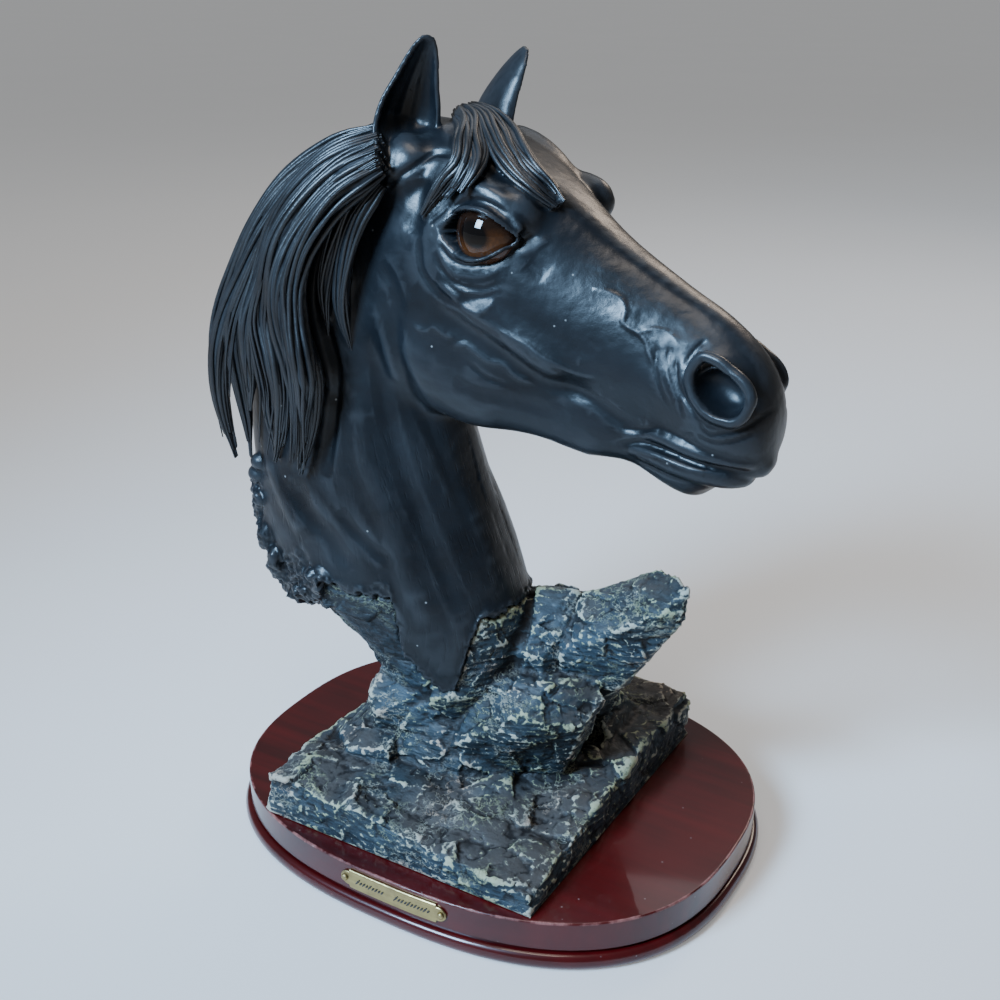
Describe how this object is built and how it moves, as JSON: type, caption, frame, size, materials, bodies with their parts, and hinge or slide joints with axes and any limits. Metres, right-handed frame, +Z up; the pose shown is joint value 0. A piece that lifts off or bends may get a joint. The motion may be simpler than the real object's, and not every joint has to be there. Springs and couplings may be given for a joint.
{
  "type": "horse head sculpture",
  "caption": "Cast horse head and neck rising from broken rocks, on an oval-cornered lacquered wooden plinth with a small brass plate.",
  "frame": {"origin": "middle of the plinth's underside", "axes": "+Z up; +X the way the horse looks, along the plinth's length; -Y the front, where the brass plate is"},
  "size_m": [0.2798, 0.2118, 0.383],
  "materials": {
    "painted_resin": "cast resin, satin black on the horse, dry-brushed slate grey on the rock",
    "mahogany_lacquer": "high-gloss lacquer with worn edges",
    "eye_glass": "polished dark brown",
    "brass": "brushed, slightly aged"
  },
  "bodies": {
    "root": {"casting": "painted_resin", "eye_right": "eye_glass", "eye_left": "eye_glass", "plinth": "mahogany_lacquer", "nameplate": "brass", "pin_left": "brass", "pin_right": "brass"}
  },
  "joints": []
}
